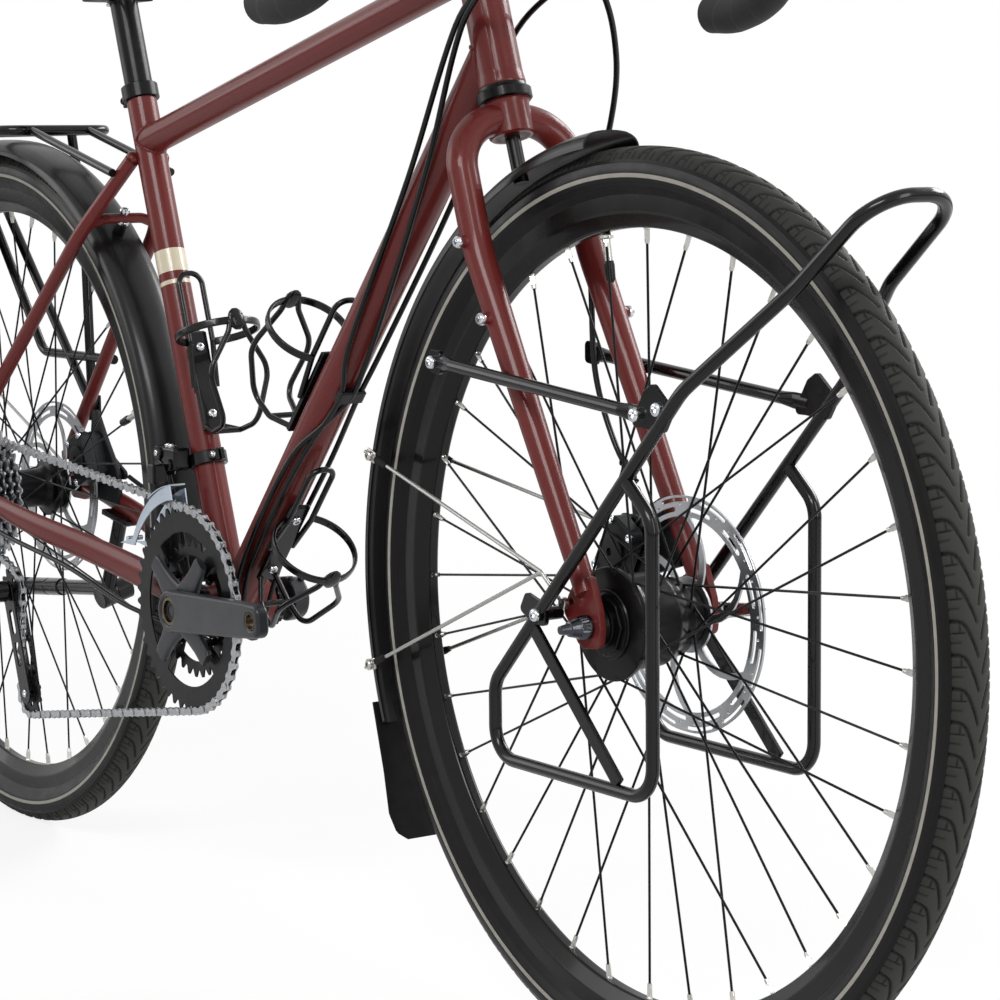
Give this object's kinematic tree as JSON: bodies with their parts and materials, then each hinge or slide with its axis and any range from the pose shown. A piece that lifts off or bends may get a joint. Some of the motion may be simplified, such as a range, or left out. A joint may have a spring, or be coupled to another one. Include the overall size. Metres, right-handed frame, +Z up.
{
  "type": "touring bicycle",
  "caption": "Drop-bar touring bicycle with disc brakes, mudguards, front and rear pannier racks, bottle cages, dynamo front hub and a kickstand.",
  "frame": {"origin": "on the ground, under the middle of the bicycle's length and width", "axes": "+X points the way the bicycle rides, +Y to the rider's left, +Z up"},
  "size_m": [1.7899, 0.4562, 0.9715],
  "materials": {
    "frame_paint": "glossy dark red-brown paint",
    "satin_black": "satin black powder coat",
    "guard_plastic": "smooth black",
    "tyre": "black rubber with a grey stripe",
    "rubber": "matt black",
    "steel": "bright steel",
    "black_alloy": "black anodised",
    "grey_alloy": "dark grey satin",
    "leather": "black, softly grained"
  },
  "bodies": {
    "frame": {"rear_axle_skewer": "steel", "head_tube": "frame_paint", "down_tube": "frame_paint", "top_tube": "frame_paint", "seat_tube": "frame_paint", "seat_clamp": "black_alloy", "chainstay_right": "frame_paint", "chainstay_left": "frame_paint", "seatstay_right": "frame_paint", "seatstay_left": "frame_paint", "rear_mudguard": "guard_plastic", "rear_rack": "satin_black", "chain": "steel", "rear_derailleur": "satin_black", "front_derailleur": "satin_black", "rear_caliper": "black_alloy", "kickstand_mount": "satin_black", "bottle_cage_seat_tube": "satin_black", "bottle_cage_down_tube": "satin_black", "bottle_cage_under_tube": "satin_black", "control_cables": "rubber"},
    "front_wheel": {"front_tyre": "tyre", "front_rim": "black_alloy", "front_hub_and_spokes": "black_alloy", "front_brake_disc": "steel"},
    "rear_wheel": {"rear_tyre": "tyre", "rear_rim": "black_alloy", "rear_hub_and_spokes": "black_alloy", "rear_brake_disc": "steel"},
    "fork": {"fork": "frame_paint", "stem": "black_alloy", "handlebar": "rubber", "brake_hood_right": "rubber", "brake_hood_left": "rubber", "front_mudguard": "guard_plastic", "low_front_rack": "satin_black", "front_caliper": "black_alloy", "front_axle_skewer": "steel", "front_brake_cable": "rubber"},
    "cassette": {"cassette": "black_alloy"},
    "crank": {"crank_right": "grey_alloy", "crank_left": "grey_alloy", "chainring_large": "black_alloy", "chainring_small": "black_alloy"},
    "derailleur_cage": {"derailleur_cage": "satin_black"},
    "guide_pulley": {"guide_pulley": "black_alloy"},
    "tension_pulley": {"tension_pulley": "black_alloy"},
    "front_derailleur_cage": {"front_derailleur_cage": "steel"},
    "brake_lever_right": {"brake_lever_right": "black_alloy"},
    "brake_lever_left": {"brake_lever_left": "black_alloy"},
    "shift_paddle_right": {"shift_paddle_right": "black_alloy"},
    "shift_paddle_left": {"shift_paddle_left": "black_alloy"},
    "front_caliper_arm": {"front_caliper_arm": "black_alloy"},
    "rear_caliper_arm": {"rear_caliper_arm": "black_alloy"},
    "kickstand_leg": {"kickstand_leg": "satin_black"},
    "seatpost": {"seatpost": "black_alloy", "saddle": "leather"},
    "front_quick_release_lever": {"front_quick_release_lever": "steel"},
    "rear_quick_release_lever": {"rear_quick_release_lever": "steel"}
  },
  "joints": [
    {"name": "steering", "type": "hinge", "parent": "frame", "child": "fork", "pos_m": [0.36331, 0, 0.74373], "axis": [-0.3173, 0, 0.9483], "range_deg": [-50, 50], "deforming": ["control_cables"]},
    {"name": "front_wheel_spin", "type": "hinge", "parent": "fork", "child": "front_wheel", "pos_m": [0.546, 0, 0.349], "axis": [0, 1, 0], "continuous": true},
    {"name": "rear_wheel_spin", "type": "hinge", "parent": "frame", "child": "rear_wheel", "pos_m": [-0.531, 0, 0.349], "axis": [0, 1, 0], "continuous": true},
    {"name": "crank_spin", "type": "hinge", "parent": "frame", "child": "crank", "pos_m": [-0.07778, 0, 0.283], "axis": [0, 1, 0], "continuous": true, "deforming": ["chain"]},
    {"name": "cassette_spin", "type": "hinge", "parent": "frame", "child": "cassette", "pos_m": [-0.531, 0, 0.349], "axis": [0, 1, 0], "continuous": true},
    {"name": "derailleur_cage_swing", "type": "hinge", "parent": "frame", "child": "derailleur_cage", "pos_m": [-0.485, 0, 0.25], "axis": [0, 1, 0], "range_deg": [-22, 25], "stiffness_Nm_per_rad": 1.5, "deforming": ["chain"]},
    {"name": "guide_pulley_spin", "type": "hinge", "parent": "derailleur_cage", "child": "guide_pulley", "pos_m": [-0.485, 0, 0.25], "axis": [0, 1, 0], "continuous": true},
    {"name": "tension_pulley_spin", "type": "hinge", "parent": "derailleur_cage", "child": "tension_pulley", "pos_m": [-0.44947, 0, 0.14776], "axis": [0, 1, 0], "continuous": true},
    {"name": "front_derailleur_shift", "type": "hinge", "parent": "frame", "child": "front_derailleur_cage", "pos_m": [-0.12778, -0.03, 0.424], "axis": [1, 0, 0], "range_deg": [0, 7], "stiffness_Nm_per_rad": 0.6, "deforming": ["chain"]},
    {"name": "brake_lever_right_pull", "type": "hinge", "parent": "fork", "child": "brake_lever_right", "pos_m": [0.5219, -0.204, 0.92488], "axis": [0, 1, 0], "range_deg": [0, 16], "stiffness_Nm_per_rad": 0.8, "springref_deg": -5.73},
    {"name": "brake_lever_left_pull", "type": "hinge", "parent": "fork", "child": "brake_lever_left", "pos_m": [0.5219, 0.204, 0.92488], "axis": [0, 1, 0], "range_deg": [0, 16], "stiffness_Nm_per_rad": 0.8, "springref_deg": -5.73},
    {"name": "shift_paddle_right_push", "type": "hinge", "parent": "brake_lever_right", "child": "shift_paddle_right", "pos_m": [0.52024, -0.204, 0.89354], "axis": [0.9848, 0, 0.1736], "range_deg": [0, 18], "stiffness_Nm_per_rad": 0.3, "springref_deg": -5.73},
    {"name": "shift_paddle_left_push", "type": "hinge", "parent": "brake_lever_left", "child": "shift_paddle_left", "pos_m": [0.52024, 0.204, 0.89354], "axis": [-0.9848, 0, -0.1736], "range_deg": [0, 18], "stiffness_Nm_per_rad": 0.3, "springref_deg": -5.73},
    {"name": "front_caliper_arm_turn", "type": "hinge", "parent": "fork", "child": "front_caliper_arm", "pos_m": [0.47209, 0, 0.38997], "axis": [0, 1, 0], "range_deg": [-16, 0]},
    {"name": "rear_caliper_arm_turn", "type": "hinge", "parent": "frame", "child": "rear_caliper_arm", "pos_m": [-0.45442, 0, 0.38471], "axis": [0, 1, 0], "range_deg": [0, 16]},
    {"name": "kickstand_fold", "type": "hinge", "parent": "frame", "child": "kickstand_leg", "pos_m": [-0.439, 0.06, 0.245], "axis": [0.0339, -0.9596, -0.2793], "range_deg": [0, 98]},
    {"name": "seatpost_height", "type": "slide", "parent": "frame", "child": "seatpost", "axis": [-0.3239, 0, 0.9461], "range_m": [-0.05, 0.06]},
    {"name": "front_quick_release_open", "type": "hinge", "parent": "fork", "child": "front_quick_release_lever", "pos_m": [0.546, 0.0696, 0.349], "axis": [-0.1392, 0, 0.9903], "range_deg": [0, 140]},
    {"name": "rear_quick_release_open", "type": "hinge", "parent": "frame", "child": "rear_quick_release_lever", "pos_m": [-0.531, 0.0861, 0.349], "axis": [0.342, 0, -0.9397], "range_deg": [0, 170]}
  ],
  "couplings": [
    {"joint": "cassette_spin", "follows": "crank_spin", "ratio": 1.6429},
    {"joint": "guide_pulley_spin", "follows": "crank_spin", "ratio": -4.1818},
    {"joint": "tension_pulley_spin", "follows": "crank_spin", "ratio": 4.1818},
    {"joint": "front_caliper_arm_turn", "follows": "brake_lever_right_pull", "ratio": -1},
    {"joint": "rear_caliper_arm_turn", "follows": "brake_lever_left_pull", "ratio": 1}
  ]
}
